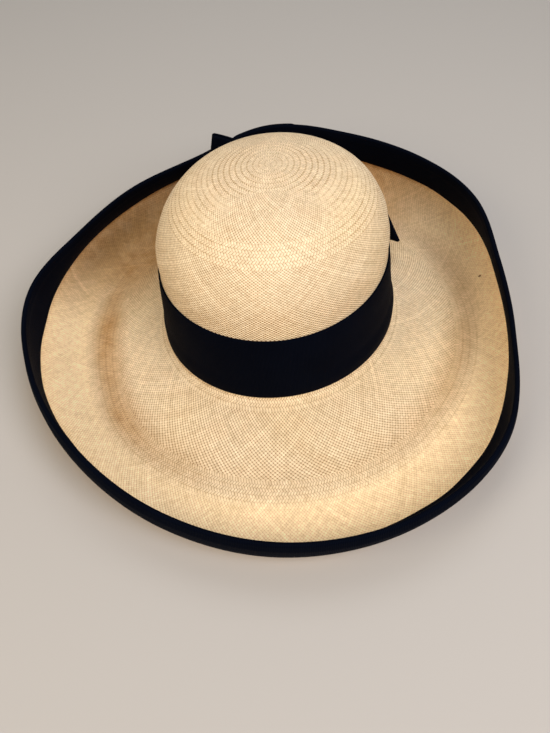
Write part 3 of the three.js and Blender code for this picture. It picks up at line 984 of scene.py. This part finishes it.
def build_band():
    angle, crown_radius = spokes()
    levels = np.linspace(BAND_BOTTOM, BAND_TOP, BAND_ROWS)[:, None]
    shift_x, shift_y = lean(levels)
    drawn_in = waist(levels, angle)

    def side(clear):
        radius = crown_radius * dome_share(levels) + clear + drawn_in
        x = radius * np.cos(angle) + shift_x
        y = radius * np.sin(angle) + shift_y
        return np.stack([x, y, levels + 0 * x], axis=-1)

    middle = side(GAP + RIBBON / 2)
    flat_out = side(GAP + RIBBON)
    flat_in = side(GAP)
    for flat in (flat_out, flat_in):
        flat[0, :, 2] += SELVEDGE
        flat[-1, :, 2] -= SELVEDGE
    points = np.concatenate([middle[:1], flat_out, middle[-1:], flat_in[::-1]])
    u = np.zeros((len(points), AROUND)) + np.arange(AROUND) / AROUND
    v = np.zeros((len(points), AROUND)) + points[:, :1, 2] / (BAND_TOP - BAND_BOTTOM)
    return wrap_grid("ribbon_band", points, "Ribbon", u, v)


# Bow: gathers fan out from the knot and die away, and the ribbon sags a little between them

LOOP_STEPS = 44
LOOP_WIDTH_STEPS = 26
FOLD_STEPS = 10
BOW_RIBBON = 0.8
PLEATS = 3.0
PLEAT_DEPTH = 0.45
PLEAT_REACH = 0.75
PLEAT_FALL = 1.5
PLEAT_SHIFT = 0.9
SAG_DEPTH = 0.35
SAG_WAVES = 0.8


def bow_points(x, y, z):
    """Points given along the bow, away from the crown and up, in the hat's frame."""
    across = BOW_ANGLE - math.pi / 2
    return np.stack([x * math.cos(across) + y * math.cos(BOW_ANGLE),
                     x * math.sin(across) + y * math.sin(BOW_ANGLE), z + 0 * x], axis=-1)


def build_loop(name, loop):
    """One loop of the bow: out along the back layer, round the end and back along the front."""
    middle = (BOW_BACK_LAYER + BOW_FRONT_LAYER) / 2
    half = (BOW_FRONT_LAYER - BOW_BACK_LAYER) / 2 - BOW_RIBBON / 2
    end = loop["reach"] - half - BOW_RIBBON / 2
    straight = np.linspace(LOOP_ROOT["reach"], end, LOOP_STEPS)
    round_end = np.radians(np.linspace(-90, 90, FOLD_STEPS + 2)[1:-1])
    x = np.concatenate([straight, end + half * np.cos(round_end), straight[::-1]])
    y = np.concatenate([-half + 0 * straight, half * np.sin(round_end), half + 0 * straight])
    path = np.concatenate([[0], np.cumsum(np.hypot(np.diff(x), np.diff(y)))])
    share = (x - LOOP_ROOT["reach"]) / (loop["reach"] - LOOP_ROOT["reach"])
    flare = share * (2 - share)
    low = LOOP_ROOT["low"] + (loop["low"] - LOOP_ROOT["low"]) * flare
    high = LOOP_ROOT["high"] + (loop["high"] - LOOP_ROOT["high"]) * flare
    v = np.linspace(0, 1, LOOP_WIDTH_STEPS)

    front = np.where(y > 0, 1.0, -1.0)[:, None]
    gathered = np.clip(1 - share / PLEAT_REACH, 0, 1)[:, None] ** PLEAT_FALL
    gather = PLEAT_DEPTH * gathered * np.cos(FULL_TURN * PLEATS * v + PLEAT_SHIFT * front)
    sag = SAG_DEPTH * np.sin(math.pi * share)[:, None] * np.sin(FULL_TURN * SAG_WAVES * v + front)

    grid_x = x[:, None] - (loop["slant"] * share)[:, None] * v
    grid_y = middle + (loop["turn_back"] * share ** 2 + y)[:, None] + gather + sag
    grid_z = low[:, None] + (high - low)[:, None] * v
    tangent_x = np.gradient(x)
    tangent_y = np.gradient(y)
    size = np.hypot(tangent_x, tangent_y)
    out_x = (tangent_y / size)[:, None]
    out_y = (-tangent_x / size)[:, None]

    def layer(offset):
        return bow_points(-loop["side"] * (grid_x + out_x * offset), grid_y + out_y * offset, grid_z)

    rows = np.concatenate([layer(BOW_RIBBON / 2), layer(-BOW_RIBBON / 2)[:, ::-1]], axis=1)
    u = path[:, None] + 0 * rows[..., 0]
    across = np.concatenate([v, v[::-1]])[None, :] + 0 * u
    return strip_grid(name, rows, "Ribbon", u, across)


# Knot: a short ribbon wrapped round the middle of both loops

KNOT_STEPS = 22
KNOT_RING = 48
KNOT_SQUARENESS = 5.0
KNOT_WAIST = 0.5
KNOT_PLEAT = 0.3
KNOT_PLEAT_PITCH = 5.2
KNOT_EDGE = 0.5
KNOT_EDGE_SHARPNESS = 8
KNOT_GIRTH = 2 * (KNOT["outer"] - KNOT["inner"] + KNOT["high"] - KNOT["low"])


def build_knot():
    """The knot, drawn in a little at its waist, pleated, with rounded edges."""
    x = np.linspace(-KNOT_HALF_WIDTH, KNOT_HALF_WIDTH, KNOT_STEPS)
    turn = np.arange(KNOT_RING) / KNOT_RING * FULL_TURN
    power = 2 / KNOT_SQUARENESS
    cos = np.sign(np.cos(turn)) * np.abs(np.cos(turn)) ** power
    sin = np.sign(np.sin(turn)) * np.abs(np.sin(turn)) ** power
    middle_y = (KNOT["inner"] + KNOT["outer"]) / 2
    middle_z = (KNOT["low"] + KNOT["high"]) / 2
    drawn_in = KNOT_WAIST * np.cos(math.pi * x / (2 * KNOT_HALF_WIDTH))
    pleat = KNOT_PLEAT * (1 - np.cos(FULL_TURN * x / KNOT_PLEAT_PITCH)) / 2
    edge = KNOT_EDGE * (np.abs(x) / KNOT_HALF_WIDTH) ** KNOT_EDGE_SHARPNESS

    def ring(inset):
        half_y = (KNOT["outer"] - KNOT["inner"]) / 2 - inset
        half_z = (KNOT["high"] - KNOT["low"]) / 2 - inset
        y = middle_y + half_y[:, None] * cos
        z = middle_z + half_z[:, None] * sin
        return bow_points(x[:, None] + 0 * y, y, z)

    outer = ring(drawn_in + pleat + edge)
    inner = ring(drawn_in + BOW_RIBBON)
    points = np.concatenate([outer, inner[::-1]])
    u = turn / FULL_TURN + 0 * points[..., 0]
    v = np.concatenate([x, x[::-1]])[:, None] + 0 * u
    return wrap_grid("bow_centre", points, "Ribbon", u, v)


# Ribs round the whole hat for the band and the binding, for each mm of a loop, and round the knot
BAND_RIBS = 620
BINDING_RIBS = 1250
BOW_RIBS_PER_MM = 1.0
KNOT_RIBS = round(KNOT_GIRTH * BOW_RIBS_PER_MM)

crown_straw = straw_material("woven_crown_straw", crown_weave, crown_zones, crown_tints)
brim_straw = straw_material("woven_brim_straw", brim_weave, brim_zones, brim_tints)
bow_ribbon = ribbon_material("bow_grosgrain", BOW_RIBS_PER_MM)

stand_for(build_crown(), "crown", crown_straw)
stand_for(build_brim(), "brim", brim_straw)
stand_for(build_binding(), "brim_binding", ribbon_material("binding_grosgrain", BINDING_RIBS))
stand_for(build_band(), "crown_band", ribbon_material("band_grosgrain", BAND_RIBS))
for node, loop in BOW_LOOPS.items():
    stand_for(build_loop("folded_" + node, loop), node, bow_ribbon)
stand_for(build_knot(), "bow_knot", ribbon_material("knot_grosgrain", KNOT_RIBS))

# Camera, from the photograph: 51 degrees below the horizon, turned a little about its own axis
CAMERA_FROM_CROWN = (-6.1, -404.3, 431.0)
CAMERA_BELOW_HORIZON = math.radians(50.8)
CAMERA_ROLL = math.radians(2.7)
FOCAL_PX = 700
PHOTO_LONG_SIDE_PX = 733
SENSOR_MM = 36
NEAREST_SEEN = 0.01

camera_data = bpy.data.cameras.new("camera")
camera_data.sensor_width = SENSOR_MM
camera_data.lens = SENSOR_MM * FOCAL_PX / PHOTO_LONG_SIDE_PX
camera_data.clip_start = NEAREST_SEEN
camera = bpy.data.objects.new("camera", camera_data)
tilt = Matrix.Rotation(math.pi / 2 - CAMERA_BELOW_HORIZON, 4, "X")
roll = Matrix.Rotation(-CAMERA_ROLL, 4, "Z")
place = (Vector((CENTRE[0], CENTRE[1], 0)) + Vector(CAMERA_FROM_CROWN)) * MM
camera.matrix_world = Matrix.Translation(place) @ tilt @ roll
scene.collection.objects.link(camera)
scene.camera = camera

# Floor
FLOOR_HALF = 4.0
FLOOR_COLOUR = (0.50, 0.47, 0.43, 1)
FLOOR_ROUGHNESS = 0.85

floor_mesh = bpy.data.meshes.new("floor")
floor_corners = [(x * FLOOR_HALF, y * FLOOR_HALF, 0) for x, y in ((-1, -1), (1, -1), (1, 1), (-1, 1))]
floor_mesh.from_pydata(floor_corners, [], [(0, 1, 2, 3)])
floor = bpy.data.objects.new("floor", floor_mesh)
floor_nodes = Nodes("pale_floor")
floor_nodes.surface(Base_Color=FLOOR_COLOUR, Roughness=FLOOR_ROUGHNESS)
floor_mesh.materials.append(floor_nodes.material)
scene.collection.objects.link(floor)

# Light: large soft discs that look at the hat, and a soft room
LIGHT_DISTANCE = 1.6
LIGHT_SIZE = 1.0
LIGHTS = [
    # name, azimuth and elevation in degrees, power in W, colour
    ("front_right", -50, 48, 17.0, (0.99, 0.96, 1.0)),
    ("front_left", 218, 40, 10.0, (1.0, 0.85, 0.66)),
    ("overhead", 85, 62, 5.0, (0.86, 0.92, 1.0)),
]
ROOM_COLOUR = (1.0, 0.99, 0.97, 1)
ROOM_STRENGTH = 0.30

for name, azimuth, elevation, power, tint in LIGHTS:
    data = bpy.data.lights.new(name, "AREA")
    data.shape = "DISK"
    data.size = LIGHT_SIZE
    data.energy = power
    data.color = tint
    lamp = bpy.data.objects.new(name, data)
    turned = math.radians(azimuth)
    raised = math.radians(elevation)
    level = math.cos(raised)
    heading = Vector((math.cos(turned) * level, math.sin(turned) * level, math.sin(raised)))
    lamp.location = heading * LIGHT_DISTANCE
    lamp.rotation_euler = heading.to_track_quat("Z", "Y").to_euler()
    scene.collection.objects.link(lamp)

world = bpy.data.worlds.new("soft_room")
world.use_nodes = True
background = world.node_tree.nodes["Background"]
background.inputs["Color"].default_value = ROOM_COLOUR
background.inputs["Strength"].default_value = ROOM_STRENGTH
scene.world = world
scene.view_settings.view_transform = "Standard"
